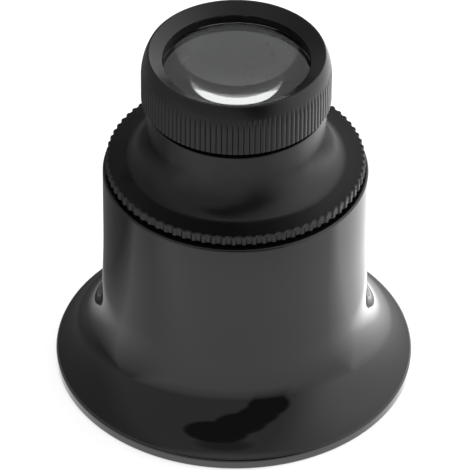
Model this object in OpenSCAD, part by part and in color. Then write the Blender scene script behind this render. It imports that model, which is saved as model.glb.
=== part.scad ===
// Watchmaker loupe with two screwed lens mounts, standing on its eye rim.
// Origin: centre of the rim's resting face. +Z runs up through the lenses.

/* [Eye cup] */
// Outer diameter of the rim that rests on the eye socket
rim_d = 44; // [42:0.5:50]
// Height of the upright band round the rim
rim_h = 1.36; // [0.8:0.02:2.4]
// Outer diameter of the barrel
barrel_d = 32; // [31.7:0.1:34]
// Height of the barrel's top face above the resting face
barrel_top = 29; // [27:0.01:34]
// Height at which the barrel slowly starts to widen
swell_top = 20; // [17:0.5:22]
// How far the barrel has widened where the flare starts
swell = 0.3; // [0.1:0.05:0.6]
// Height at which the flare to the rim starts
flare_top = 10.6; // [9:0.1:14]
// Wall of the barrel and the flare
cup_wall = 1.8; // [1.4:0.1:2.2]
// Chamfer round the barrel's top edge
barrel_chamfer = 0.25; // [0.1:0.05:0.5]

/* [Carrier thread] */
// Wall of the barrel round the carrier's thread
mouth_wall = 2; // [1.8:0.05:2.4]
// Radial room for the thread between the carrier's core and the barrel
thread_depth = 0.45; // [0.3:0.01:0.5]
// Length of the carrier that sits inside the barrel
spigot_len = 5.6; // [5.2:0.01:7]
// Height of the plain pilot above the thread
pilot_h = 0.95; // [0.6:0.05:1.4]
// Wall of the carrier's spigot round the rear lens
spigot_wall = 1.5; // [1.2:0.05:1.8]

/* [Lens carrier] */
// How far the teeth stand back from the barrel's side
flange_inset = 0.4; // [0.2:0.02:0.8]
// Thickness of the toothed flange
flange_h = 1.18; // [0.9:0.02:2]
// Number of teeth round the flange
tooth_count = 80; // [60:1:100]
// Depth of the teeth
tooth_depth = 0.22; // [0.1:0.01:0.3]
// How far the collar under the teeth stands back from them
collar_inset = 0.68; // [0.4:0.02:0.9]
// Height of the collar, seen as a shadow gap under the teeth
collar_h = 0.47; // [0.2:0.01:0.8]
// How far the neck stands back from the cap's side
neck_inset = 0.55; // [0.3:0.05:0.8]
// Height of the neck above the flange
neck_h = 8.15; // [7:0.05:11]
// How far the cove at the foot of the neck reaches out
cove_w = 2.6; // [2:0.1:3.6]
// How far the cove climbs up the neck
cove_h = 4.6; // [2:0.05:6]
// Wall of the carrier's nose round the light bore
nose_wall = 0.8; // [0.6:0.05:1]

/* [Lens cap] */
// Outer diameter of the cap
cap_d = 22.7; // [22.2:0.1:23.4]
// Wall of the cap round its thread
cap_wall = 1.25; // [1:0.05:1.5]
// Shadow gap between the cap's skirt and the neck
cap_gap = 0.86; // [0.4:0.02:1.2]
// Thickness of the lip over the front lens
lip_h = 2.12; // [1.8:0.01:3]
// How far the lip covers the front lens's edge
lip_cover = 0.53; // [0.4:0.01:1]
// Depth of the funnel that leads down to the opening
funnel_h = 0.94; // [0.5:0.02:1.4]
// Radius of the long arc that draws the cap in to its crest
shoulder_r = 7; // [5:0.5:12]
// How far the crest stands in from the cap's side
crest_inset = 0.75; // [0.4:0.05:1]
// Width of the flat land on the crest
crest_land = 0.2; // [0.05:0.05:0.4]
// Number of flutes round the cap
flute_count = 108; // [80:1:120]
// Depth of the flutes
flute_depth = 0.2; // [0.1:0.01:0.25]
// Height of the flutes above the skirt's edge
flute_h = 5.1; // [3:0.05:5.4]
// Radial room for the thread between the cap and the carrier's nose
cap_thread_depth = 0.4; // [0.3:0.01:0.45]
// Height of the carrier's nose above the neck
nose_h = 3.8; // [3.2:0.05:5]
// Height of the plain pilot at the foot of the nose
nose_pilot_h = 1.8; // [1.4:0.05:2.2]

/* [Lenses] */
// Step from the cap's thread in to the front lens
front_step = 0.75; // [0.5:0.05:0.9]
// Thickness of the front lens at its edge
front_edge = 1.2; // [0.7:0.05:1.6]
// Radius of the front lens's curved face
front_radius = 20; // [18:0.5:32]
// Thickness of the rear lens at its edge
rear_edge = 1.2; // [0.8:0.05:1.6]
// Radius of the rear lens's curved face
rear_radius = 26; // [24:0.5:40]

/* [Ring and stop] */
// How far the retaining ring reaches outside the rear lens
ring_reach = 0.35; // [0.2:0.05:0.5]
// Width of the retaining ring from its bore to its outside
ring_width = 1.75; // [1.3:0.05:2.2]
// Thickness of the retaining ring
ring_h = 1.6; // [1.2:0.1:2]
// Width of the two spanner slots in the ring
slot_w = 1.2; // [0.8:0.1:1.6]
// Depth of the spanner slots
slot_h = 0.7; // [0.4:0.1:0.9]
// How far the ring sits inside the carrier's lower end
ring_recess = 0.2; // [0:0.05:0.4]
// How far the glare stop's plate reaches inside the light bore
stop_reach = 0.3; // [0.1:0.05:0.8]
// Wall of the glare stop's tube
stop_wall = 1; // [0.8:0.05:1.3]
// Thickness of the glare stop's plate
stop_plate = 0.8; // [0.5:0.05:1.2]
// Height of the glare stop
stop_h = 3.3; // [3.1:0.05:4]

/* [Fits] */
// Radial clearance of a part that slides or turns in another
run_clear = 0.05; // [0.03:0.01:0.08]
// Gap left where a lens or ring is seated
seat_gap = 0.02; // [0.01:0.01:0.05]

/* [Hidden] */
$fn = 120;

// Eye cup
rim_r = rim_d / 2;
barrel_r = barrel_d / 2;
foot_r = barrel_r + swell;
swell_steps = 6;
flare_start = 6;
flare_end = 75;
flare_steps = 30;
flare_a = (rim_r - foot_r) / (1 - cos(flare_end));
flare_b = (flare_top - rim_h) / sin(flare_end);
thread_r = barrel_r - mouth_wall;
carrier_bottom = barrel_top - spigot_len;
thread_foot = carrier_bottom - 0.1;
mouth_chamfer = 0.2;

// Lens carrier
flange_r = barrel_r - flange_inset;
collar_r = flange_r - collar_inset;
collar_top = barrel_top + collar_h;
flange_top = collar_top + flange_h;
neck_r = cap_d / 2 - neck_inset;
neck_top = flange_top + neck_h;
cove_steps = 20;
core_r = thread_r - thread_depth;
pilot_r = thread_r - run_clear;
nose_top = neck_top + nose_h;
cap_thread_r = cap_d / 2 - cap_wall;
nose_core_r = cap_thread_r - cap_thread_depth;
nose_pilot_r = cap_thread_r - run_clear;
light_bore_r = nose_core_r - nose_wall;
edge = 0.12;

// Rear lens, its ring and the stop
rear_r = core_r - spigot_wall - run_clear;
ring_r = rear_r + ring_reach;
ring_bottom = carrier_bottom + ring_recess;
ring_top = ring_bottom + ring_h;
rear_bottom = ring_top + seat_gap;
rear_crown = rear_bottom + rear_edge + sagitta(rear_radius, rear_r);
stop_seat_r = rear_r - stop_wall;
stop_bore_r = light_bore_r - stop_reach;
stop_bottom = rear_crown - sagitta(rear_radius, stop_seat_r) + seat_gap;
stop_top = stop_bottom + stop_h;
shoulder_z = stop_top + seat_gap;

// Front lens and cap
front_r = cap_thread_r - front_step;
front_bottom = nose_top + seat_gap - sagitta(front_radius, light_bore_r);
front_face = front_bottom + front_edge + sagitta(front_radius, front_r);
aperture_r = front_r - lip_cover;
lip_bottom = front_face + seat_gap;
cap_top = lip_bottom + lip_h;
cap_bottom = neck_top + cap_gap;
cap_r = cap_d / 2;
crest_r = cap_r - crest_inset;
shoulder_turn = acos(1 - crest_inset / shoulder_r);
shoulder_bottom = cap_top - shoulder_r * sin(shoulder_turn);
shoulder_steps = 12;
pocket_bottom = nose_top + 0.1;
cut_skin = 0.005;

// Height of a spherical cap of radius r over a circle of radius a
function sagitta(r, a) = r - sqrt(r * r - a * a);

// Slow widening of the barrel above the flare, as a parabola
function swell_point(z) =
    [barrel_r + swell * pow((swell_top - z) / (swell_top - flare_top), 2), z];

// Flare: part of an ellipse, given as a point and as the tilt of its normal
function flare_point(t) =
    [foot_r + flare_a * (1 - cos(t)), flare_top - flare_b * sin(t)];
function flare_tilt(t) = atan2(flare_a * sin(t), flare_b * cos(t));
function flare_inner(t) =
    flare_point(t) - cup_wall * [cos(flare_tilt(t)), sin(flare_tilt(t))];

// Cove from the neck down to the flange's top face
function cove_point(t) =
    [neck_r + cove_w * (1 - cos(t)), flange_top + cove_h * (1 - sin(t))];

// Outline of a ring of teeth: flat tips, sloped flanks and flat roots
function toothed_ring(count, tip_r, root_r, tip_share, flank_share) = [
    for (i = [0:count - 1])
        for (step = [[0, root_r], [flank_share, tip_r], [flank_share + tip_share, tip_r],
            [2 * flank_share + tip_share, root_r]])
            let (angle = 360 * (i + step[0]) / count)
                [step[1] * cos(angle), step[1] * sin(angle)]
];

// Long arc from the cap's side in to its crest
function shoulder_point(t) =
    [cap_r - shoulder_r * (1 - cos(t)), shoulder_bottom + shoulder_r * sin(t)];

// Everything outside a toothed outline, as a cutter for a plain blank
module tooth_cutter(outline, outer_r, bottom, height) {
    translate([0, 0, bottom])
        difference() {
            cylinder(r = outer_r, h = height);
            translate([0, 0, -1])
                linear_extrude(height = height + 2)
                    polygon(outline);
        }
}

// Bell-shaped cup: an open barrel, a flare and a flat rim
module eye_cup() {
    turns = [for (i = [flare_steps:-1:0])
        flare_start + (flare_end - flare_start) * i / flare_steps];
    heights = [for (i = [swell_steps - 1:-1:0])
        swell_top - (swell_top - flare_top) * i / swell_steps];
    outer = concat(
        [[0, 0], [rim_r, 0]],
        [for (t = turns) flare_point(t)],
        [for (z = heights) swell_point(z)],
        [[barrel_r, barrel_top - barrel_chamfer], [barrel_r - barrel_chamfer, barrel_top],
            [0, barrel_top]]
    );
    inner = concat(
        [[0, -2]],
        [for (t = turns) flare_inner(t)],
        [for (z = heights) swell_point(z) - [cup_wall, 0]],
        [[barrel_r - cup_wall, thread_foot], [thread_r, thread_foot],
            [thread_r, barrel_top - mouth_chamfer],
            [thread_r + mouth_chamfer * 2, barrel_top + mouth_chamfer],
            [0, barrel_top + mouth_chamfer]]
    );
    color([0.07, 0.07, 0.075])
        difference() {
            rotate_extrude()
                polygon(outer);
            rotate_extrude()
                polygon(inner);
        }
}

// Mount of the rear lens: threaded spigot, collar, toothed flange, cove, neck and nose
module lens_carrier() {
    outer = concat(
        [[0, carrier_bottom], [core_r - edge, carrier_bottom], [core_r, carrier_bottom + edge],
            [core_r, barrel_top - pilot_h], [pilot_r, barrel_top - pilot_h], [pilot_r, barrel_top],
            [collar_r, barrel_top], [collar_r, collar_top], [flange_r - edge, collar_top],
            [flange_r, collar_top + edge], [flange_r, flange_top - edge], [flange_r - edge, flange_top]],
        [for (i = [cove_steps:-1:0]) cove_point(90 * i / cove_steps)],
        [[neck_r, neck_top - edge], [neck_r - edge, neck_top], [nose_pilot_r, neck_top],
            [nose_pilot_r, neck_top + nose_pilot_h], [nose_core_r, neck_top + nose_pilot_h],
            [nose_core_r, nose_top - edge], [nose_core_r - edge, nose_top], [0, nose_top]]
    );
    inner = [[0, carrier_bottom - 1], [ring_r + run_clear, carrier_bottom - 1],
        [ring_r + run_clear, ring_top], [rear_r + run_clear, ring_top],
        [rear_r + run_clear, shoulder_z], [light_bore_r, shoulder_z],
        [light_bore_r, nose_top + 1], [0, nose_top + 1]];
    color([0.1, 0.1, 0.105])
        difference() {
            rotate_extrude()
                polygon(outer);
            rotate_extrude()
                polygon(inner);
            tooth_cutter(
                toothed_ring(tooth_count, flange_r - cut_skin, flange_r - tooth_depth, 0.42, 0.1),
                flange_r + 1, collar_top - 0.2, flange_h + 0.4
            );
        }
}

// Screw cap with a fluted grip, a rounded crest and a funnel down to the lens
module lens_cap() {
    outer = concat(
        [[0, cap_bottom], [cap_r - edge, cap_bottom], [cap_r, cap_bottom + edge]],
        [for (i = [0:shoulder_steps]) shoulder_point(shoulder_turn * i / shoulder_steps)],
        [[crest_r - crest_land, cap_top], [aperture_r, cap_top - funnel_h], [0, cap_top - funnel_h]]
    );
    inner = [[0, cap_bottom - 1], [cap_thread_r, cap_bottom - 1],
        [cap_thread_r, pocket_bottom], [front_r + run_clear, pocket_bottom],
        [front_r + run_clear, lip_bottom], [aperture_r, lip_bottom],
        [aperture_r, cap_top + 1], [0, cap_top + 1]];
    color([0.1, 0.1, 0.105])
        difference() {
            rotate_extrude()
                polygon(outer);
            rotate_extrude()
                polygon(inner);
            tooth_cutter(
                toothed_ring(flute_count, cap_r - cut_skin, cap_r - flute_depth, 0.5, 0.15),
                cap_r + 1, cap_bottom - 0.2, flute_h + 0.2
            );
        }
}

// Plano-convex lens that rests on its flat face, with the curved face up
module plano_convex(lens_r, edge_h, radius) {
    crown = edge_h + sagitta(radius, lens_r);
    color([0.85, 0.9, 0.92, 0.35])
        intersection() {
            cylinder(r = lens_r, h = crown + 1);
            translate([0, 0, crown - radius])
                sphere(r = radius);
        }
}

// Front lens: flat face up under the lip, curved face down on the nose's inner edge
module front_lens() {
    translate([0, 0, front_face])
        rotate([180, 0, 0])
            plano_convex(front_r, front_edge, front_radius);
}

// Rear lens: flat face down on the retaining ring
module rear_lens() {
    translate([0, 0, rear_bottom])
        plano_convex(rear_r, rear_edge, rear_radius);
}

// Tube with a plate that holds the rear lens down and stops stray light
module glare_stop() {
    color([0.06, 0.06, 0.06])
        rotate_extrude()
            polygon([[stop_seat_r, stop_bottom], [rear_r, stop_bottom], [rear_r, stop_top],
                [stop_bore_r, stop_top], [stop_bore_r, stop_top - stop_plate],
                [stop_seat_r, stop_top - stop_plate]]);
}

// Threaded ring that holds the rear lens from below, with two spanner slots
module retaining_ring() {
    color([0.08, 0.08, 0.085])
        translate([0, 0, ring_bottom])
            difference() {
                cylinder(r = ring_r, h = ring_h);
                translate([0, 0, -1])
                    cylinder(r = ring_r - ring_width, h = ring_h + 2);
                translate([-2 * ring_r, -slot_w / 2, -1])
                    cube([4 * ring_r, slot_w, slot_h + 1]);
            }
}

eye_cup();
lens_carrier();
lens_cap();
front_lens();
glare_stop();
rear_lens();
retaining_ring();
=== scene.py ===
import math

import bmesh
import bpy
from mathutils import Matrix, Vector


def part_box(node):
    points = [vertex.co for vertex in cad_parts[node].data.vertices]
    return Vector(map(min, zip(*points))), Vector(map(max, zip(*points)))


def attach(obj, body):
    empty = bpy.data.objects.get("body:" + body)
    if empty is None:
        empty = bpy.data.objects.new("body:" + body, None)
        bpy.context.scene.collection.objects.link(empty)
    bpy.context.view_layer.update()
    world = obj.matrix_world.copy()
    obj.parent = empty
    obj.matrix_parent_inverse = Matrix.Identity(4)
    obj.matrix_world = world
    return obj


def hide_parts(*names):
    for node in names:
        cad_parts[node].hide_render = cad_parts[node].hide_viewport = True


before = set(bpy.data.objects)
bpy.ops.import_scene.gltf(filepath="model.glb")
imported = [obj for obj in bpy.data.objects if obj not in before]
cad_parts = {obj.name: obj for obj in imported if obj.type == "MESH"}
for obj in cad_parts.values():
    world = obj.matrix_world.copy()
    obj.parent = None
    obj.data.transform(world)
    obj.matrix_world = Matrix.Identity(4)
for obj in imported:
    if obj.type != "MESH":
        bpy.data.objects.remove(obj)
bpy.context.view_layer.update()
# The pieces' sizes are in millimetres, with heights above the resting face. MM turns them to metres.
MM = 0.001

# Eye cup
# One glossy black moulding: a plain barrel that opens out like a bell to the rim that sits on the
# eye socket. The mouth of the barrel is threaded for the lens carrier.
CUP_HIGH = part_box("eye_cup")[1]
RIM_R = CUP_HIGH.x / MM
BARREL_TOP = CUP_HIGH.z / MM
RIM_H = 1.36
BARREL_R = 16.0
SWELL_TOP = 20.0
SWELL = 0.3
FLARE_TOP = 10.6
FLARE_END = 75
BLEND_TOP = 13.0
BLEND_END = 14
CUP_WALL = 1.8
MOUTH_R = 14.0
MOUTH_FOOT = 23.3
MOUTH_CHAMFER = 0.2
# Below this height the inner wall runs straight on to the resting face.
STRAIGHT_BELOW = 0.35
SEAT_ROUND = 0.12
FOOT_ROUND = 0.18
RIM_ROUND = 0.5
BARREL_ROUND = 0.25
MOUTH_ROUND = 0.12
STEP_ROUND = 0.1
CUP_STEPS = 360
SWELL_STEPS = 8
BLEND_STEPS = 9
FLARE_STEPS = 60
CUP_SPACING = 1.2
FLOW_WIDTH = 1.1
FLOW_SQUASH = 0.06
PEEL_WIDTH = 0.7
CUP_RUB = 0.1


def arc_between(start, end, centre, facets):
    """Points from start to end on the shorter arc round the centre."""
    first, last = (start - centre).normalized(), (end - centre).normalized()
    radius = (start - centre).length
    return [centre + first.slerp(last, k / facets) * radius for k in range(facets + 1)]


def rounded(corners, facets=5, guard=0.05):
    """Closed outline through (r, z, radius) corners. A point by each arc keeps the flats flat."""
    outline = []
    for i, (r, z, radius) in enumerate(corners):
        here = Vector((r, z))
        before = (Vector(corners[i - 1][:2]) - here).normalized()
        after = (Vector(corners[(i + 1) % len(corners)][:2]) - here).normalized()
        if radius == 0:
            outline.append((r, z, 0.0))
            continue
        half = before.angle(after) / 2
        reach = radius / math.tan(half)
        centre = here + (before + after).normalized() * radius / math.sin(half)
        start, end = here + before * reach, here + after * reach
        outline.append((*(start + before * guard), 0.0))
        outline += [(*p, 1.0) for p in arc_between(start, end, centre, facets)]
        outline.append((*(end + after * guard), 0.0))
    return outline


def spaced(outline, longest):
    """The outline with each long flat cut into stretches of at most that length."""
    result = []
    for i, (r, z, wear) in enumerate(outline):
        result.append((r, z, wear))
        r2, z2, _ = outline[(i + 1) % len(outline)]
        parts = math.ceil(math.dist((r, z), (r2, z2)) / longest)
        result += [(r + (r2 - r) * k / parts, z + (z2 - z) * k / parts, 0.0) for k in range(1, parts)]
    return result


def swell_point(z):
    """Point of the barrel's slow widening, and its slope as the change of radius with height."""
    share = (SWELL_TOP - z) / (SWELL_TOP - FLARE_TOP)
    slope = -2 * SWELL * share / (SWELL_TOP - FLARE_TOP)
    return Vector((BARREL_R + SWELL * share ** 2, z)), slope


def flare_point(t):
    """Point of the flare's ellipse, and its slope as the change of radius with height."""
    a = (RIM_R - BARREL_R - SWELL) / (1 - math.cos(math.radians(FLARE_END)))
    b = (FLARE_TOP - RIM_H) / math.sin(math.radians(FLARE_END))
    slope = -a * math.tan(t) / b
    return Vector((BARREL_R + SWELL + a * (1 - math.cos(t)), FLARE_TOP - b * math.sin(t))), slope


def eased(top, foot, parts):
    """Points with slopes on the cubic that joins two points with the slopes given there."""
    (start, leave), (end, arrive) = top, foot
    span = end.y - start.y
    points = []
    for k in range(1, parts):
        s = k / parts
        r = ((2 * s ** 3 - 3 * s ** 2 + 1) * start.x + (s ** 3 - 2 * s ** 2 + s) * span * leave
             + (3 * s ** 2 - 2 * s ** 3) * end.x + (s ** 3 - s ** 2) * span * arrive)
        slope = ((6 * s ** 2 - 6 * s) * (start.x - end.x) / span + (3 * s ** 2 - 4 * s + 1) * leave
                 + (3 * s ** 2 - 2 * s) * arrive)
        points.append((Vector((r, start.y + span * s)), slope))
    return points


def bell_curve():
    """The bell's outer face from the plain barrel down to the rim, as points with slopes."""
    swell = [swell_point(SWELL_TOP + (BLEND_TOP - SWELL_TOP) * k / SWELL_STEPS)
             for k in range(SWELL_STEPS + 1)]
    turns = [math.radians(BLEND_END + (FLARE_END - BLEND_END) * k / FLARE_STEPS)
             for k in range(FLARE_STEPS)]
    flare = [flare_point(t) for t in turns]
    return swell + eased(swell[-1], flare[0], BLEND_STEPS) + flare


def cup_outline():
    """Closed section of the cup: the rim, the outer face, the mouth and the inner face."""
    bell = bell_curve()
    inner = [point - Vector((1, -slope)).normalized() * CUP_WALL for point, slope in bell]
    inner = [point for point in inner if point.y > STRAIGHT_BELOW]
    foot_slope = (inner[-1].x - inner[-2].x) / (inner[-1].y - inner[-2].y)
    seat_r = inner[-1].x - foot_slope * inner[-1].y
    rim = [(seat_r, 0, SEAT_ROUND), (RIM_R, 0, FOOT_ROUND), (RIM_R, RIM_H, RIM_ROUND)]
    outer = [(*point, 0) for point, _ in reversed(bell)]
    mouth = [(BARREL_R, BARREL_TOP, BARREL_ROUND),
             (MOUTH_R + MOUTH_CHAMFER / 2, BARREL_TOP, MOUTH_ROUND),
             (MOUTH_R, BARREL_TOP - MOUTH_CHAMFER, MOUTH_ROUND),
             (MOUTH_R, MOUTH_FOOT, STEP_ROUND),
             (BARREL_R - CUP_WALL, MOUTH_FOOT, 0)]
    return rounded(rim + outer + mouth + [(*point, 0) for point in inner])


def new_object(name, bm):
    """Object at the origin from a mesh in mm, with its faces turned outwards."""
    bmesh.ops.recalc_face_normals(bm, faces=bm.faces)
    bmesh.ops.transform(bm, matrix=Matrix.Scale(MM, 4), verts=bm.verts)
    mesh = bpy.data.meshes.new(name)
    bm.to_mesh(mesh)
    bm.free()
    mesh.shade_smooth()
    obj = bpy.data.objects.new(name, mesh)
    bpy.context.collection.objects.link(obj)
    return obj


def turned_grid(bm, outline, columns, place):
    """Rows of vertices: one row for each column, one vertex for each outline point."""
    wear = bm.verts.layers.float.get("wear") or bm.verts.layers.float.new("wear")
    grid = []
    for column in columns:
        row = []
        for r, z, worn in outline:
            vert = bm.verts.new(place(column, r, z))
            vert[wear] = worn
            row.append(vert)
        grid.append(row)
    return grid


def join_rows(bm, rows, closed=True):
    """Faces between neighbouring rows. A closed row runs on from its last point to its first."""
    for left, right in zip(rows, rows[1:]):
        for j in range(len(left) if closed else len(left) - 1):
            above = (j + 1) % len(left)
            bm.faces.new((left[j], right[j], right[above], left[above]))


def on_circle(angle, r, z):
    return (r * math.cos(angle), r * math.sin(angle), z)


def full_turn(steps):
    """Angles of evenly spaced columns round the axis."""
    return [2 * math.pi * i / steps for i in range(steps)]


def turned_mesh(outline, steps):
    """Closed mesh of the outline turned round the axis."""
    bm = bmesh.new()
    grid = turned_grid(bm, outline, full_turn(steps), on_circle)
    join_rows(bm, grid + grid[:1])
    return bm


def colour(code):
    """Linear RGBA from an sRGB hex value."""
    parts = [int(code[i:i + 2], 16) / 255 for i in (1, 3, 5)]
    linear = [c / 12.92 if c <= 0.04045 else ((c + 0.055) / 1.055) ** 2.4 for c in parts]
    return (*linear, 1)


def add_node(tree, kind, inputs=None, **settings):
    """Adds a node with its settings, and sets or links its inputs."""
    node = tree.nodes.new(kind)
    for name, value in settings.items():
        setattr(node, name, value)
    for name, value in (inputs or {}).items():
        if isinstance(value, bpy.types.NodeSocket):
            tree.links.new(value, node.inputs[name])
        else:
            node.inputs[name].default_value = value
    return node


def new_material(name):
    """A material with an empty node tree, and that tree."""
    material = bpy.data.materials.new(name)
    material.use_nodes = True
    material.node_tree.nodes.clear()
    return material, material.node_tree


# Polished ABS moulding: near-black through its body, with a high gloss. It shows long faint flow
# marks down the bell, a soft orange peel and a rubbed edge.
def polished_black():
    material, tree = new_material("polished_black_abs")
    place = add_node(tree, "ShaderNodeTexCoord").outputs["Object"]
    along = add_node(tree, "ShaderNodeMapping", {
        "Vector": place, "Scale": (1, 1, FLOW_SQUASH)}).outputs[0]
    flow = add_node(tree, "ShaderNodeTexNoise", {
        "Vector": along, "Scale": 1 / (FLOW_WIDTH * MM), "Detail": 3.0}).outputs["Fac"]
    peel = add_node(tree, "ShaderNodeTexNoise", {
        "Vector": place, "Scale": 1 / (PEEL_WIDTH * MM), "Detail": 2.0}).outputs["Fac"]
    worn = add_node(tree, "ShaderNodeAttribute", attribute_name="wear").outputs["Fac"]
    rough = add_node(tree, "ShaderNodeMapRange", {
        "Value": flow, "From Min": 0.3, "From Max": 0.7, "To Min": 0.03, "To Max": 0.05}).outputs[0]
    rubbed = add_node(tree, "ShaderNodeMath", {
        0: worn, 1: CUP_RUB, 2: rough}, operation="MULTIPLY_ADD").outputs[0]
    body = add_node(tree, "ShaderNodeMix", {
        "Factor": worn, "A": colour("#0b0b0c"), "B": colour("#161617")}, data_type="RGBA")
    streaks = add_node(tree, "ShaderNodeBump", {
        "Height": flow, "Strength": 0.03, "Distance": 0.02 * MM})
    skin = add_node(tree, "ShaderNodeBump", {
        "Height": peel, "Strength": 0.03, "Distance": 0.01 * MM, "Normal": streaks.outputs[0]})
    shader = add_node(tree, "ShaderNodeBsdfPrincipled", {
        "Base Color": body.outputs["Result"], "Roughness": rubbed, "IOR": 1.54,
        "Normal": skin.outputs[0]})
    add_node(tree, "ShaderNodeOutputMaterial", {"Surface": shader.outputs[0]})
    return material


cup_black = polished_black()
cup = new_object("eye_cup_bell", turned_mesh(spaced(cup_outline(), CUP_SPACING), CUP_STEPS))
cup.data.materials.append(cup_black)
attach(cup, "eye_cup")
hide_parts("eye_cup")

# Lens carrier
# The black turned mount that screws into the barrel: threaded spigot, collar, a flange with a ring
# of fine teeth to grip, a cove, the neck, and the nose that takes the cap. It holds the rear lens.
CARRIER_LOW, CARRIER_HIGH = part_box("lens_carrier")
SPIGOT_FOOT = CARRIER_LOW.z / MM
NOSE_TOP = CARRIER_HIGH.z / MM
CORE_R = 13.55
PILOT_R = 13.95
PILOT_H = 0.95
COLLAR_R = 14.92
COLLAR_TOP = 29.47
FLANGE_R = 15.595
FLANGE_TOP = 30.65
NECK_R = 10.8
NECK_TOP = 38.8
COVE_W = 2.6
COVE_H = 4.5
COVE_END = 86.4
COVE_STEPS = 14
# The flange's flat rises a little from its edge to the cove. The crown's points stand at these
# shares of its width: one beside the cove, and two just inside the ring that the teeth are cut in.
CROWN_H = 0.17
CROWN_INSET = 0.2
CROWN_SHARES = (0.9, 0.84, 0.07)
NOSE_CORE_R = 9.7
NOSE_PILOT_R = 10.05
NOSE_PILOT_H = 1.8
LIGHT_BORE_R = 8.9
REAR_BORE_R = 12.05
RING_BORE_R = 12.4
RING_TOP = 25.2
SHOULDER_Z = 30.25
TIGHT_EDGE = 0.05
SLIGHT_EDGE = 0.08
BROKEN_EDGE = 0.1
SOFT_EDGE = 0.12
FLANGE_EDGE = 0.14
CARRIER_SPACING = 2.4
TOOTH_COUNT = 80
TOOTH_DEPTH = 0.19
TOOTH_CUT_R = COLLAR_R + 0.3
# Each column of a tooth: its share of the tooth's turn, and its height from the root to the tip.
TOOTH_COLUMNS = [(0, 0), (0.08, 0.5), (0.19, 1), (0.43, 1), (0.54, 0.5), (0.62, 0), (0.81, 0), (1, 0)]
# A face this share of the way out belongs to a slice's outer side.
OUTER_SHARE = 0.95
WELD_GAP = 0.001
GRAIN_WIDTH = 0.22
CLOUD_WIDTH = 3.0
MOUNT_RUB = 0.08


def carrier_outline():
    """Closed section of the carrier: spigot, flange, crown, cove, nose and bore."""
    cove_end = math.radians(COVE_END)
    crown_r = NECK_R + COVE_W * (1 - math.cos(cove_end))
    crown_w = FLANGE_R - CROWN_INSET - crown_r
    turns = [cove_end * (1 - k / COVE_STEPS) for k in range(COVE_STEPS + 1)]
    spigot = [(RING_BORE_R, SPIGOT_FOOT, BROKEN_EDGE), (CORE_R, SPIGOT_FOOT, SOFT_EDGE),
              (CORE_R, BARREL_TOP - PILOT_H, TIGHT_EDGE), (PILOT_R, BARREL_TOP - PILOT_H, SLIGHT_EDGE),
              (PILOT_R, BARREL_TOP, 0)]
    flange = [(COLLAR_R, BARREL_TOP, SLIGHT_EDGE), (COLLAR_R, COLLAR_TOP, SLIGHT_EDGE),
              (FLANGE_R, COLLAR_TOP, SOFT_EDGE), (FLANGE_R, FLANGE_TOP, FLANGE_EDGE)]
    crown = [(crown_r + crown_w * s, FLANGE_TOP + CROWN_H * (1 - s), 0) for s in CROWN_SHARES]
    cove = [(NECK_R + COVE_W * (1 - math.cos(t)), FLANGE_TOP + CROWN_H + COVE_H * (1 - math.sin(t)), 0)
            for t in turns]
    nose = [(NECK_R, NECK_TOP, SOFT_EDGE), (NOSE_PILOT_R, NECK_TOP, TIGHT_EDGE),
            (NOSE_PILOT_R, NECK_TOP + NOSE_PILOT_H, BROKEN_EDGE),
            (NOSE_CORE_R, NECK_TOP + NOSE_PILOT_H, TIGHT_EDGE), (NOSE_CORE_R, NOSE_TOP, SOFT_EDGE)]
    bore = [(LIGHT_BORE_R, NOSE_TOP, BROKEN_EDGE), (LIGHT_BORE_R, SHOULDER_Z, BROKEN_EDGE),
            (REAR_BORE_R, SHOULDER_Z, TIGHT_EDGE), (REAR_BORE_R, RING_TOP, SLIGHT_EDGE),
            (RING_BORE_R, RING_TOP, TIGHT_EDGE)]
    return rounded(spigot + flange + crown + cove + nose + bore)


def tooth_cut(r, z):
    """How deep the teeth are cut at a point of the carrier."""
    return TOOTH_DEPTH if r > TOOTH_CUT_R else 0


def toothed_slice(name, outline, columns, count, depth_at):
    """One tooth's slice of a turned part: a full section, drawn in where the tooth is cut away."""
    bm = bmesh.new()

    def place(column, r, z):
        share, height = column
        return on_circle(2 * math.pi * share / count, r - depth_at(r, z) * (1 - height), z)

    join_rows(bm, turned_grid(bm, outline, columns, place))
    obj = new_object(name, bm)
    side = OUTER_SHARE * max(r for r, _, _ in outline) * MM
    outward = sum((f.center.x * f.normal.x + f.center.y * f.normal.y) * f.area
                  for f in obj.data.polygons if f.center.to_2d().length > side)
    if outward < 0:
        obj.data.flip_normals()
    return obj


def tree_input(tree, name, kind, value=None):
    """Adds a named input to a geometry tree and returns the identifier that a modifier sets it by."""
    socket = tree.interface.new_socket(name, in_out="INPUT", socket_type=kind)
    if value is not None:
        socket.default_value = value
    return socket.identifier


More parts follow.
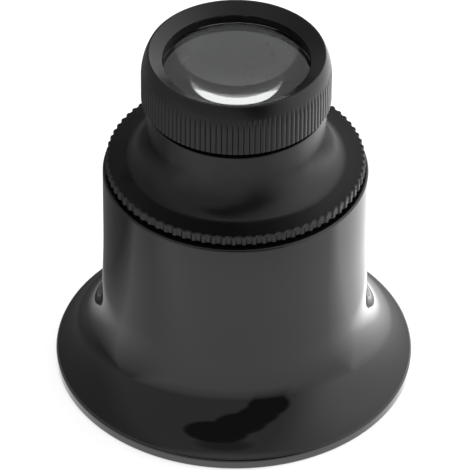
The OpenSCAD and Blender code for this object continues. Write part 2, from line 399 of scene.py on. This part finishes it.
def ring_tree():
    """Geometry tree that repeats a slice round the axis and welds the slices into one mesh."""
    tree = bpy.data.node_groups.new("ring_of_slices", "GeometryNodeTree")
    names = {"Slice": tree_input(tree, "Slice", "NodeSocketGeometry"),
             "Count": tree_input(tree, "Count", "NodeSocketInt", TOOTH_COUNT),
             "Finish": tree_input(tree, "Finish", "NodeSocketMaterial")}
    tree.interface.new_socket("Ring", in_out="OUTPUT", socket_type="NodeSocketGeometry")
    given = add_node(tree, "NodeGroupInput").outputs
    points = add_node(tree, "GeometryNodePoints", {"Count": given["Count"]})
    index = add_node(tree, "GeometryNodeInputIndex").outputs[0]
    step = add_node(tree, "ShaderNodeMath", {
        0: 2 * math.pi, 1: given["Count"]}, operation="DIVIDE").outputs[0]
    angle = add_node(tree, "ShaderNodeMath", {0: index, 1: step}, operation="MULTIPLY").outputs[0]
    turn = add_node(tree, "ShaderNodeCombineXYZ", {"Z": angle}).outputs[0]
    placed = add_node(tree, "GeometryNodeInstanceOnPoints", {
        "Points": points.outputs[0], "Instance": given["Slice"], "Rotation": turn})
    real = add_node(tree, "GeometryNodeRealizeInstances", {"Geometry": placed.outputs[0]})
    weld = add_node(tree, "GeometryNodeMergeByDistance", {
        "Geometry": real.outputs[0], "Distance": WELD_GAP * MM})
    finish = add_node(tree, "GeometryNodeSetMaterial", {
        "Geometry": weld.outputs[0], "Material": given["Finish"]})
    add_node(tree, "NodeGroupOutput", {"Ring": finish.outputs[0]})
    return tree, names


def grown(obj, tree, settings):
    """Runs a geometry tree on an object and keeps its result as the object's plain mesh."""
    modifier = obj.modifiers.new("grow", "NODES")
    modifier.node_group = tree
    for identifier, value in settings.items():
        modifier[identifier] = value
    evaluated = obj.evaluated_get(bpy.context.evaluated_depsgraph_get())
    mesh = bpy.data.meshes.new_from_object(evaluated)
    obj.modifiers.remove(modifier)
    obj.data = mesh
    return obj


def sharpen(obj, degrees=34):
    """Smooth shading, with the edges that turn by more than the angle kept sharp."""
    obj.data.shade_smooth()
    obj.data.set_sharp_from_angle(angle=math.radians(degrees))


# Black acetal, turned and tumbled: a deep black body with a satin skin. It shows a fine grain and
# faint clouds in its sheen, and its edges are rubbed a little lighter.
def satin_black():
    material, tree = new_material("satin_black_acetal")
    place = add_node(tree, "ShaderNodeTexCoord").outputs["Object"]
    grain = add_node(tree, "ShaderNodeTexNoise", {
        "Vector": place, "Scale": 1 / (GRAIN_WIDTH * MM), "Detail": 3.0}).outputs["Fac"]
    cloud = add_node(tree, "ShaderNodeTexNoise", {
        "Vector": place, "Scale": 1 / (CLOUD_WIDTH * MM), "Detail": 2.0}).outputs["Fac"]
    worn = add_node(tree, "ShaderNodeAttribute", attribute_name="wear").outputs["Fac"]
    rough = add_node(tree, "ShaderNodeMapRange", {
        "Value": cloud, "From Min": 0.3, "From Max": 0.7, "To Min": 0.26, "To Max": 0.33}).outputs[0]
    rubbed = add_node(tree, "ShaderNodeMath", {
        0: worn, 1: MOUNT_RUB, 2: rough}, operation="MULTIPLY_ADD").outputs[0]
    body = add_node(tree, "ShaderNodeMix", {
        "Factor": worn, "A": colour("#0a0a0b"), "B": colour("#19191a")}, data_type="RGBA")
    skin = add_node(tree, "ShaderNodeBump", {
        "Height": grain, "Strength": 0.35, "Distance": 0.012 * MM})
    shader = add_node(tree, "ShaderNodeBsdfPrincipled", {
        "Base Color": body.outputs["Result"], "Roughness": rubbed, "IOR": 1.48,
        "Normal": skin.outputs[0]})
    add_node(tree, "ShaderNodeOutputMaterial", {"Surface": shader.outputs[0]})
    return material


mount_black = satin_black()
slice_tree, slice_inputs = ring_tree()
carrier = toothed_slice("lens_carrier_mount", spaced(carrier_outline(), CARRIER_SPACING),
                        TOOTH_COLUMNS, TOOTH_COUNT, tooth_cut)
grown(carrier, slice_tree, {slice_inputs["Count"]: TOOTH_COUNT, slice_inputs["Finish"]: mount_black})
sharpen(carrier)
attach(carrier, "lens_carrier")
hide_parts("lens_carrier")

# Retaining ring
# A thin ring turned from the same black stock, with two slots for a spanner in its lower face. It
# screws up into the spigot from below and holds the rear lens.
RING_LOW, RING_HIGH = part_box("retaining_ring")
RING_R = RING_HIGH.x / MM
RING_WIDTH = 1.75
SLOT_W = 1.2
SLOT_H = 0.7
RING_SPACING = 0.5
# Angles in degrees of the plain columns between the two slots
PLAIN_ANGLES = range(8, 173, 2)
# Columns of a slot: share of its half width, and whether the slot is cut there
SLOT_COLUMNS = [(0, 1), (0.5, 1), (1, 1), (1, 0)]


def ring_half():
    """Half of the ring, from the middle of one slot towards the middle of the other.

    Known fault: the far slot's last share is a whole number 0, which has no minus, so that column
    stands in the near slot and a strip of stray faces crosses the bore.
    """
    bm = bmesh.new()
    low, high = RING_LOW.z / MM, RING_HIGH.z / MM
    bore_r = RING_R - RING_WIDTH
    outline = rounded([(bore_r, low, SLIGHT_EDGE), (RING_R, low, BROKEN_EDGE),
                       (RING_R, high, BROKEN_EDGE), (bore_r, high, SLIGHT_EDGE)], facets=3)
    far_slot = [(-share, cut) for share, cut in reversed(SLOT_COLUMNS)]
    columns = SLOT_COLUMNS + [math.radians(a) for a in PLAIN_ANGLES] + far_slot

    def place(column, r, z):
        if isinstance(column, float):
            return on_circle(column, r, z)
        share, cut = column
        y = abs(share) * SLOT_W / 2
        x = math.copysign(math.sqrt(r * r - y * y), share)
        return (x, y, max(z, low + SLOT_H) if cut else z)

    join_rows(bm, turned_grid(bm, spaced(outline, RING_SPACING), columns, place))
    return new_object("retaining_ring_turned", bm)


ring = grown(ring_half(), slice_tree, {slice_inputs["Count"]: 2, slice_inputs["Finish"]: mount_black})
sharpen(ring)
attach(ring, "lens_carrier")
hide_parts("retaining_ring")

# Lenses
# Two plano-convex crown glasses, ground and polished, with a fine bevel at the edge. The front lens
# has its flat face up under the cap's lip, and the rear one its flat face down on the ring.
FRONT_RADIUS = 20
REAR_RADIUS = 26
LENS_BEVEL = 0.1
LENS_STEPS = 192
CURVE_STEPS = 40
FLAT_STEPS = 24
LENS_WELD_GAP = 0.0005
LENS_SHARP = 20


def lens_object(name, node, radius, flat_up):
    """Plano-convex lens, drawn with its flat face down and turned over if flat_up is set."""
    low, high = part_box(node)
    lens_r, foot, crown = high.x / MM, low.z / MM, high.z / MM
    edge_turn = math.asin(lens_r / radius)
    shoulder = crown - radius * (1 - math.cos(edge_turn))
    turns = [edge_turn * (1 - k / CURVE_STEPS) for k in range(1, CURVE_STEPS + 1)]
    flat = [(lens_r * k / FLAT_STEPS, foot, 0.0) for k in range(FLAT_STEPS)]
    edge = [(lens_r - LENS_BEVEL, foot, 0.0), (lens_r, foot + LENS_BEVEL, 0.0),
            (lens_r, shoulder - LENS_BEVEL / 2, 0.0)]
    outline = flat + edge + [(radius * math.sin(t), crown - radius * (1 - math.cos(t)), 0.0) for t in turns]
    if flat_up:
        outline = [(r, foot + crown - z, wear) for r, z, wear in outline]
    bm = bmesh.new()
    grid = turned_grid(bm, outline, full_turn(LENS_STEPS), on_circle)
    join_rows(bm, grid + grid[:1], closed=False)
    bmesh.ops.remove_doubles(bm, verts=bm.verts, dist=LENS_WELD_GAP)
    obj = new_object(name, bm)
    sharpen(obj, LENS_SHARP)
    return obj


# Crown glass, ground and polished: clear, with a trace of grey in its body and a mirror-like skin.
def lens_glass():
    material, tree = new_material("polished_crown_glass")
    shader = add_node(tree, "ShaderNodeBsdfPrincipled", {
        "Base Color": colour("#f6f8f8"), "Roughness": 0.01, "IOR": 1.5, "Transmission Weight": 1.0})
    add_node(tree, "ShaderNodeOutputMaterial", {"Surface": shader.outputs[0]})
    return material


crown_glass = lens_glass()
LENSES = [
    ("front_lens_glass", "front_lens", FRONT_RADIUS, True, "front_lens"),
    ("rear_lens_glass", "rear_lens", REAR_RADIUS, False, "rear_optics"),
]
for name, node, radius, flat_up, body in LENSES:
    lens = lens_object(name, node, radius, flat_up)
    lens.data.materials.append(crown_glass)
    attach(lens, body)
    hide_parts(node)

# Glare stop
# A short tube with a plate, turned thin and blackened matt. It spaces the rear lens from the
# shoulder above it and keeps stray light off the walls.
STOP_LOW, STOP_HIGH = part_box("glare_stop")
STOP_R = STOP_HIGH.x / MM
STOP_WALL = 1.0
STOP_PLATE = 0.8
STOP_BORE_R = 8.6
STOP_STEPS = 192
FINE_EDGE = 0.06
COAT_WIDTH = 0.12


def stop_outline():
    """Closed section of the glare stop: a tube with a plate at its top."""
    low, high = STOP_LOW.z / MM, STOP_HIGH.z / MM
    tube_r, plate_foot = STOP_R - STOP_WALL, high - STOP_PLATE
    return rounded([
        (tube_r, low, FINE_EDGE), (STOP_R, low, BROKEN_EDGE), (STOP_R, high, BROKEN_EDGE),
        (STOP_BORE_R, high, FINE_EDGE), (STOP_BORE_R, plate_foot, FINE_EDGE),
        (tube_r, plate_foot, BROKEN_EDGE)], facets=3)


# Matt blackened finish: it scatters what little it reflects, with the tooth of a dry coat.
def matt_black():
    material, tree = new_material("matt_black_coat")
    place = add_node(tree, "ShaderNodeTexCoord").outputs["Object"]
    tooth = add_node(tree, "ShaderNodeTexNoise", {
        "Vector": place, "Scale": 1 / (COAT_WIDTH * MM), "Detail": 2.0}).outputs["Fac"]
    body = add_node(tree, "ShaderNodeMix", {
        "Factor": tooth, "A": colour("#0c0c0c"), "B": colour("#151515")}, data_type="RGBA")
    skin = add_node(tree, "ShaderNodeBump", {"Height": tooth, "Strength": 0.5, "Distance": 0.02 * MM})
    shader = add_node(tree, "ShaderNodeBsdfPrincipled", {
        "Base Color": body.outputs["Result"], "Roughness": 0.75, "IOR": 1.45,
        "Normal": skin.outputs[0]})
    add_node(tree, "ShaderNodeOutputMaterial", {"Surface": shader.outputs[0]})
    return material


stop = new_object("glare_stop_tube", turned_mesh(stop_outline(), STOP_STEPS))
stop.data.materials.append(matt_black())
sharpen(stop)
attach(stop, "rear_optics")
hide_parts("glare_stop")

# Lens cap
# The black screw cap over the front lens: fine upright flutes round its skirt, a plain band that
# draws in to a crest, and a funnel down to the glass. Its lip holds the lens on the nose.
CAP_LOW, CAP_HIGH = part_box("lens_cap")
CAP_R = CAP_HIGH.x / MM
CAP_FOOT = CAP_LOW.z / MM
CAP_TOP = CAP_HIGH.z / MM
SHOULDER_R = 7.0
SHOULDER_STEPS = 20
CREST_INSET = 0.75
CREST_LAND = 0.2
APERTURE_R = 8.82
FUNNEL_H = 0.94
LIP_H = 2.12
CAP_THREAD_R = 10.1
POCKET_FOOT = 42.7
POCKET_R = 9.4
CAP_SPACING = 0.4
FLUTE_COUNT = 108
FLUTE_REACH = 0.2
FLUTE_ROOT_R = CAP_R - FLUTE_REACH
FLUTE_SHARE = 0.7
FLUTE_H = 5.1
FLUTE_COLUMNS = [(0, 0), (0.07, 0.45), (0.17, 0.85), (0.36, 1), (0.62, 1), (0.82, 0.85), (0.93, 0.45),
                 (1, 0)]


def cap_outline():
    """Closed section of the cap: skirt, shoulder, crest and funnel, and the pocket of the lens."""
    turn = math.acos(1 - CREST_INSET / SHOULDER_R)
    arc_foot = CAP_TOP - SHOULDER_R * math.sin(turn)
    turns = [turn * k / SHOULDER_STEPS for k in range(SHOULDER_STEPS)]
    crest_r = CAP_R - CREST_INSET
    skirt = [(CAP_THREAD_R, CAP_FOOT, BROKEN_EDGE), (CAP_R, CAP_FOOT, SOFT_EDGE)]
    shoulder = [(CAP_R - SHOULDER_R * (1 - math.cos(t)), arc_foot + SHOULDER_R * math.sin(t), 0)
                for t in turns]
    crest = [(crest_r, CAP_TOP, BROKEN_EDGE), (crest_r - CREST_LAND, CAP_TOP, TIGHT_EDGE),
             (APERTURE_R, CAP_TOP - FUNNEL_H, FINE_EDGE), (APERTURE_R, CAP_TOP - LIP_H, TIGHT_EDGE)]
    pocket = [(POCKET_R, CAP_TOP - LIP_H, TIGHT_EDGE), (POCKET_R, POCKET_FOOT, SLIGHT_EDGE),
              (CAP_THREAD_R, POCKET_FOOT, TIGHT_EDGE)]
    return rounded(skirt + shoulder + crest + pocket)


def flute_cut(r, z):
    """How deep the flutes are cut at a point of the cap. They run out where the shoulder draws in."""
    if r < FLUTE_ROOT_R or z > CAP_FOOT + FLUTE_H:
        return 0
    return FLUTE_SHARE * (r - FLUTE_ROOT_R)


cap = toothed_slice("lens_cap_fluted", spaced(cap_outline(), CAP_SPACING),
                    FLUTE_COLUMNS, FLUTE_COUNT, flute_cut)
grown(cap, slice_tree, {slice_inputs["Count"]: FLUTE_COUNT, slice_inputs["Finish"]: mount_black})
sharpen(cap)
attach(cap, "lens_cap")
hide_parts("lens_cap")

# Screw threads
# Four single-start right-hand threads, cut in the parts that they stand on. The spigot's runs in
# the barrel's and the nose's in the cap's, half a pitch apart, so that they never touch.
CARRIER_PITCH = 1.0
CAP_PITCH = 0.75
RUNNING_GAP = 0.07
THREAD_STEPS = 128
# A ridge grows from its thin end to its full height in this share of a turn.
RUN_OUT = 0.3
THIN_END = 0.04
RIDGE_SHARE = 0.36
THREAD_SHARP = 30


def thread_tree():
    """Geometry tree of one helical ridge of triangular section that dies away at both ends."""
    tree = bpy.data.node_groups.new("screw_thread", "GeometryNodeTree")
    tree_input(tree, "Geometry", "NodeSocketGeometry")
    names = {name: tree_input(tree, name, "NodeSocketFloat") for name in
             ("Radius", "Foot", "Length", "Pitch", "Depth", "Start Angle")}
    names["Finish"] = tree_input(tree, "Finish", "NodeSocketMaterial")
    tree.interface.new_socket("Thread", in_out="OUTPUT", socket_type="NodeSocketGeometry")
    given = add_node(tree, "NodeGroupInput").outputs
    turns = add_node(tree, "ShaderNodeMath", {
        0: given["Length"], 1: given["Pitch"]}, operation="DIVIDE").outputs[0]
    helix = add_node(tree, "GeometryNodeCurveSpiral", {
        "Resolution": THREAD_STEPS, "Rotations": turns, "Start Radius": given["Radius"],
        "End Radius": given["Radius"], "Height": given["Length"], "Reverse": True}).outputs[0]
    along = add_node(tree, "GeometryNodeSplineParameter").outputs["Factor"]
    back = add_node(tree, "ShaderNodeMath", {0: 1.0, 1: along}, operation="SUBTRACT").outputs[0]
    near = add_node(tree, "ShaderNodeMath", {0: along, 1: back}, operation="MINIMUM").outputs[0]
    full = add_node(tree, "ShaderNodeMath", {0: near, 1: turns}, operation="MULTIPLY").outputs[0]
    swell = add_node(tree, "ShaderNodeMapRange", {
        "Value": full, "From Min": 0.0, "From Max": RUN_OUT, "To Min": THIN_END, "To Max": 1.0}).outputs[0]
    upright = add_node(tree, "GeometryNodeSetCurveNormal", {"Curve": helix}, mode="Z_UP").outputs[0]
    sized = add_node(tree, "GeometryNodeSetCurveRadius", {"Curve": upright, "Radius": swell}).outputs[0]
    section = add_node(tree, "GeometryNodeCurvePrimitiveCircle", {
        "Resolution": 3, "Radius": 1.0}, mode="RADIUS").outputs[0]
    half = add_node(tree, "ShaderNodeMath", {
        0: given["Pitch"], 1: RIDGE_SHARE}, operation="MULTIPLY").outputs[0]
    stretch = add_node(tree, "ShaderNodeCombineXYZ", {"X": given["Depth"], "Y": half, "Z": 1.0}).outputs[0]
    shaped = add_node(tree, "GeometryNodeTransform", {"Geometry": section, "Scale": stretch}).outputs[0]
    ridge = add_node(tree, "GeometryNodeCurveToMesh", {
        "Curve": sized, "Profile Curve": shaped, "Fill Caps": True}).outputs[0]
    turn = add_node(tree, "ShaderNodeCombineXYZ", {"Z": given["Start Angle"]}).outputs[0]
    rise = add_node(tree, "ShaderNodeCombineXYZ", {"Z": given["Foot"]}).outputs[0]
    placed = add_node(tree, "GeometryNodeTransform", {
        "Geometry": ridge, "Translation": rise, "Rotation": turn}).outputs[0]
    real = add_node(tree, "GeometryNodeRealizeInstances", {"Geometry": placed}).outputs[0]
    finish = add_node(tree, "GeometryNodeSetMaterial", {
        "Geometry": real, "Material": given["Finish"]}).outputs[0]
    add_node(tree, "NodeGroupOutput", {"Thread": finish})
    return tree, names


screw_tree, screw_inputs = thread_tree()


def thread(name, body, slot, finish, radius, foot, top, pitch, depth, start):
    """One thread: depth is towards the axis where it is negative. Start is in turns.

    The section's corner stands two thirds of the depth from its centre and its foot one third.
    """
    mesh = bpy.data.meshes.new(name)
    obj = bpy.data.objects.new(name, mesh)
    bpy.context.collection.objects.link(obj)
    grown(obj, screw_tree, {
        screw_inputs["Radius"]: (radius + depth / 3) * MM, screw_inputs["Foot"]: foot * MM,
        screw_inputs["Length"]: (top - foot) * MM, screw_inputs["Pitch"]: pitch * MM,
        screw_inputs["Depth"]: depth * 2 / 3 * MM, screw_inputs["Start Angle"]: start * 2 * math.pi,
        screw_inputs["Finish"]: finish})
    sharpen(obj, THREAD_SHARP)
    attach(obj, body)


CARRIER_RIDGE = MOUTH_R - CORE_R - RUNNING_GAP
CAP_RIDGE = CAP_THREAD_R - NOSE_CORE_R - RUNNING_GAP
# Foot, top and pitch of each pair's run, which stops short of the faces above and below it
CARRIER_RUN = (SPIGOT_FOOT + 0.5, BARREL_TOP - PILOT_H - 0.4, CARRIER_PITCH)
CAP_RUN = (NECK_TOP + NOSE_PILOT_H + 0.35, NOSE_TOP - 0.3, CAP_PITCH)
thread("spigot_thread", "lens_carrier", "mount_black", mount_black, CORE_R, *CARRIER_RUN, CARRIER_RIDGE, 0)
thread("barrel_thread", "eye_cup", "cup_black", cup_black, MOUTH_R, *CARRIER_RUN, -CARRIER_RIDGE, 0.5)
thread("nose_thread", "lens_carrier", "mount_black", mount_black, NOSE_CORE_R, *CAP_RUN, CAP_RIDGE, 0)
thread("cap_thread", "lens_cap", "mount_black", mount_black, CAP_THREAD_R, *CAP_RUN, -CAP_RIDGE, 0.5)

# Table and light tent
# A white table, a soft light overhead and another from the right. The gloss shows a grey tent round
# them, bright on the right and in a patch overhead, with the dark room in front and behind. Near the
# object the table's gloss is painted light and shade.
TABLE_SIZE = 3.0
TABLE_GAP = 0.02
TABLE_GLOW = 0.65
TABLE_PAINT = (0.5, 0.5, 0.5, 1)
# The table's painted light and shadow in the gloss: the line that its lit and shaded sides start from is
# turned by this slope.
GLOSS_SLOPE = 0.155
RIGHT_START = -16.5
RIGHT_CLIMB = 1600.0
LEFT_START = -28
LEFT_FULL = -15
LEFT_STEEP = 12.0
LEFT_CLIMB = 3500.0
# Levels of the painted shadow and of the painted pool of light in the table's gloss
PAINTED_SHADOW_LEVEL = 0.16
PAINTED_LIGHT_LEVEL = 1.8
# A painted ring of light on the table beside the rim, seen in the gloss, which fades between these radii
PAINTED_RING_R = 23
PAINTED_RING_END = 27
PAINTED_RING_LEVEL = 1.8
# The gloss starts to turn into the tent's where FADE_R over the distance falls below FADE_SHARE.
FADE_R = 10
FADE_SHARE = 0.22
TENT_R = 1.4
TENT_LEVEL = 0.45
# Each patch of the tent: where it faces, the angles where it is full and where it has gone, and its level.
TENT_PATCHES = [
    ((1.0, 0.45, 0.2), 25, 78, 1.4),
    ((-0.6, 0.7, 0.4), 28, 60, 0.27),
    ((-0.16, 0.72, 0.67), 10, 16, 0.05),
    ((0.0, 0.2, 0.98), 7, 20, 0.8),
    ((-0.05, -0.36, 0.93), 6, 14, 0.22),
    ((-0.14, -0.67, 0.73), 15, 19, 0.07),
    ((0.1, -0.82, 0.53), 14, 18, 0.07),
    ((0.3, -0.87, 0.36), 12, 16, 0.07),
    ((0.46, -0.9, 0.16), 13, 17, 0.07),
    ((-0.026, 0.783, 0.623), 1.6, 2.6, 0.9),
]
LAMP_AIM = (0, 0, 0.02)
ROOM_LEVEL = 0.5


def tent_level(tree, facing):
    """Level of the tent's cloth in a direction."""
    level = TENT_LEVEL
    for centre, full, gone, patch_level in TENT_PATCHES:
        towards = add_node(tree, "ShaderNodeVectorMath", {0: facing, 1: Vector(centre).normalized()},
                           operation="DOT_PRODUCT").outputs["Value"]
        share = add_node(tree, "ShaderNodeMapRange", {
            "Value": towards, "From Min": math.cos(math.radians(gone)),
            "From Max": math.cos(math.radians(full))}, interpolation_type="SMOOTHSTEP").outputs[0]
        level = add_node(tree, "ShaderNodeMix", {"Factor": share, "A": level, "B": patch_level},
                         data_type="FLOAT").outputs[0]
    return level


def painted_side_light(tree, place):
    """Painted light and shadow of the table in the gloss near the object: a painted pool of light at its
    right, painted shadow at its left, plain in front.
    """
    parts = add_node(tree, "ShaderNodeSeparateXYZ", {"Vector": place}).outputs
    slant = add_node(tree, "ShaderNodeMath", {
        0: parts["X"], 1: -GLOSS_SLOPE, 2: parts["Y"]}, operation="MULTIPLY_ADD").outputs[0]
    right = add_node(tree, "ShaderNodeMath", {0: slant, 1: -RIGHT_START * MM}, operation="ADD").outputs[0]
    right = add_node(tree, "ShaderNodeMath", {0: right, 1: 0.0}, operation="MAXIMUM").outputs[0]
    right = add_node(tree, "ShaderNodeMath", {0: right, 1: RIGHT_CLIMB}, operation="MULTIPLY").outputs[0]
    left = add_node(tree, "ShaderNodeMapRange", {
        "Value": slant, "From Min": LEFT_START * MM, "From Max": LEFT_FULL * MM,
        "To Min": 0.0, "To Max": LEFT_STEEP}).outputs[0]
    back = add_node(tree, "ShaderNodeMath", {0: slant, 1: 0.0}, operation="MAXIMUM").outputs[0]
    back = add_node(tree, "ShaderNodeMath", {0: back, 1: LEFT_CLIMB}, operation="MULTIPLY").outputs[0]
    left = add_node(tree, "ShaderNodeMath", {0: left, 1: back}, operation="ADD").outputs[0]
    is_right = add_node(tree, "ShaderNodeMath", {0: parts["X"], 1: 0.0}, operation="GREATER_THAN").outputs[0]
    steep = add_node(tree, "ShaderNodeMix", {"Factor": is_right, "A": left, "B": right},
                     data_type="FLOAT").outputs[0]
    power = add_node(tree, "ShaderNodeMath", {0: parts["X"], 1: steep}, operation="MULTIPLY").outputs[0]
    level = add_node(tree, "ShaderNodeMath", {0: math.e, 1: power}, operation="POWER").outputs[0]
    level = add_node(tree, "ShaderNodeMath", {0: level, 1: PAINTED_LIGHT_LEVEL}, operation="MINIMUM").outputs[0]
    return add_node(tree, "ShaderNodeMath", {0: level, 1: PAINTED_SHADOW_LEVEL}, operation="MAXIMUM").outputs[0]


def painted_table_light(tree):
    """Level of the table in the gloss: its own painted light and shade near the object, and the tent's
    further out.
    """
    place = add_node(tree, "ShaderNodeNewGeometry").outputs["Position"]
    away = add_node(tree, "ShaderNodeVectorMath", {0: place}, operation="LENGTH").outputs["Value"]
    # Painted light: a brighter ring of the table's gloss beside the rim.
    painted_ring = add_node(tree, "ShaderNodeMapRange", {
        "Value": away, "From Min": PAINTED_RING_R * MM, "From Max": PAINTED_RING_END * MM,
        "To Min": PAINTED_RING_LEVEL, "To Max": 1.0}).outputs[0]
    own = add_node(tree, "ShaderNodeMath", {0: painted_side_light(tree, place), 1: painted_ring},
                   operation="MULTIPLY").outputs[0]
    facing = add_node(tree, "ShaderNodeVectorMath", {0: place}, operation="NORMALIZE").outputs[0]
    fade = add_node(tree, "ShaderNodeMath", {0: FADE_R * MM, 1: away}, operation="DIVIDE").outputs[0]
    nearness = add_node(tree, "ShaderNodeMapRange", {
        "Value": fade, "From Min": 0.0, "From Max": FADE_SHARE}).outputs[0]
    return add_node(tree, "ShaderNodeMix", {"Factor": nearness, "A": tent_level(tree, facing), "B": own},
                    data_type="FLOAT").outputs[0]


def table_top():
    """White table to the eye and through glass, with painted light and shade of its own in the gloss."""
    material, tree = new_material("white_table")
    ray = add_node(tree, "ShaderNodeLightPath").outputs
    seen = add_node(tree, "ShaderNodeMath", {0: ray["Is Camera Ray"], 1: ray["Is Transmission Ray"]},
                    operation="MAXIMUM").outputs[0]
    # Painted light: in the gloss the table shows a painted pool of light, painted shadow and a painted ring
    # of light beside the rim.
    glossy = add_node(tree, "ShaderNodeEmission", {"Strength": painted_table_light(tree)}).outputs[0]
    lift = add_node(tree, "ShaderNodeMath", {0: seen, 1: TABLE_GLOW}, operation="MULTIPLY").outputs[0]
    glow = add_node(tree, "ShaderNodeEmission", {"Strength": lift}).outputs[0]
    paint = add_node(tree, "ShaderNodeBsdfDiffuse", {"Color": TABLE_PAINT}).outputs[0]
    both = add_node(tree, "ShaderNodeAddShader", {0: glow, 1: paint}).outputs[0]
    mirrored = add_node(tree, "ShaderNodeMath", {0: ray["Is Glossy Ray"], 1: seen},
                        operation="GREATER_THAN").outputs[0]
    sheet = add_node(tree, "ShaderNodeMixShader", {0: mirrored, 1: both, 2: glossy}).outputs[0]
    add_node(tree, "ShaderNodeOutputMaterial", {"Surface": sheet})
    bpy.ops.mesh.primitive_plane_add(size=TABLE_SIZE, location=(0, 0, -TABLE_GAP * MM))
    table = bpy.context.object
    table.name = "table"
    table.data.materials.append(material)


def light_tent():
    """Ball of cloth round the object that only its gloss sees."""
    material, tree = new_material("light_tent_cloth")
    place = add_node(tree, "ShaderNodeNewGeometry").outputs["Position"]
    facing = add_node(tree, "ShaderNodeVectorMath", {0: place}, operation="NORMALIZE").outputs[0]
    glow = add_node(tree, "ShaderNodeEmission", {"Strength": tent_level(tree, facing)}).outputs[0]
    add_node(tree, "ShaderNodeOutputMaterial", {"Surface": glow})
    bm = bmesh.new()
    bmesh.ops.create_uvsphere(bm, u_segments=64, v_segments=32, radius=TENT_R)
    mesh = bpy.data.meshes.new("light_tent")
    bm.to_mesh(mesh)
    bm.free()
    tent = bpy.data.objects.new("light_tent", mesh)
    bpy.context.collection.objects.link(tent)
    mesh.materials.append(material)
    tent.visible_camera = False
    tent.visible_diffuse = False
    tent.visible_shadow = False
    tent.visible_transmission = False


def soft_lamp(name, place, size, power):
    """Square lamp that faces the object, unseen in its gloss and through its glass."""
    lamp = bpy.data.lights.new(name, "AREA")
    lamp.size = size
    lamp.energy = power
    obj = bpy.data.objects.new(name, lamp)
    obj.location = place
    obj.rotation_mode = "QUATERNION"
    obj.rotation_quaternion = (Vector(place) - Vector(LAMP_AIM)).to_track_quat("Z", "Y")
    obj.visible_glossy = False
    obj.visible_transmission = False
    bpy.context.collection.objects.link(obj)


def white_world():
    """Room that is white to the eye, in the gloss and through glass, and lights at half that."""
    world = bpy.data.worlds.new("white_room")
    bpy.context.scene.world = world
    world.use_nodes = True
    tree = world.node_tree
    tree.nodes.clear()
    ray = add_node(tree, "ShaderNodeLightPath").outputs
    seen = add_node(tree, "ShaderNodeMath", {0: ray["Is Camera Ray"], 1: ray["Is Glossy Ray"]},
                    operation="MAXIMUM").outputs[0]
    seen = add_node(tree, "ShaderNodeMath", {0: seen, 1: ray["Is Transmission Ray"]},
                    operation="MAXIMUM").outputs[0]
    level = add_node(tree, "ShaderNodeMapRange", {
        "Value": seen, "To Min": ROOM_LEVEL, "To Max": 1.0}).outputs[0]
    sky = add_node(tree, "ShaderNodeBackground", {"Color": (1, 1, 1, 1), "Strength": level}).outputs[0]
    add_node(tree, "ShaderNodeOutputWorld", {"Surface": sky})


table_top()
light_tent()
soft_lamp("overhead_softbox", place=(0.0, 0.05, 0.5), size=0.4, power=1.1)
soft_lamp("right_softbox", place=(0.45, 0.15, 0.3), size=0.3, power=1.2)
white_world()

# Camera
# A long lens in front of the object, looking down at 39 degrees. Its place is in metres, its pitch
# and swing are in degrees, and its small roll is in radians.
CAMERA_DISTANCE = 0.46424
CAMERA_HEIGHT = 0.39483
CAMERA_PITCH = 39.03
CAMERA_SWING = 1.9
CAMERA_ROLL = 0.00917
CAMERA_LENS = 376.4

camera_data = bpy.data.cameras.new("camera")
camera_data.lens = CAMERA_LENS
camera_data.sensor_width = 36
camera_data.clip_start = 0.01
camera_data.clip_end = 10
camera = bpy.data.objects.new("camera", camera_data)
bpy.context.collection.objects.link(camera)
swing = math.radians(CAMERA_SWING)
turned_camera = Matrix.Rotation(swing, 4, "Z") @ Matrix.Rotation(math.radians(90 - CAMERA_PITCH), 4, "X")
turned_camera = turned_camera @ Matrix.Rotation(CAMERA_ROLL, 4, "Z")
camera.matrix_world = Matrix.Translation((
    CAMERA_DISTANCE * math.sin(swing), -CAMERA_DISTANCE * math.cos(swing), CAMERA_HEIGHT)) @ turned_camera
bpy.context.scene.camera = camera
bpy.context.scene.view_settings.view_transform = "Standard"
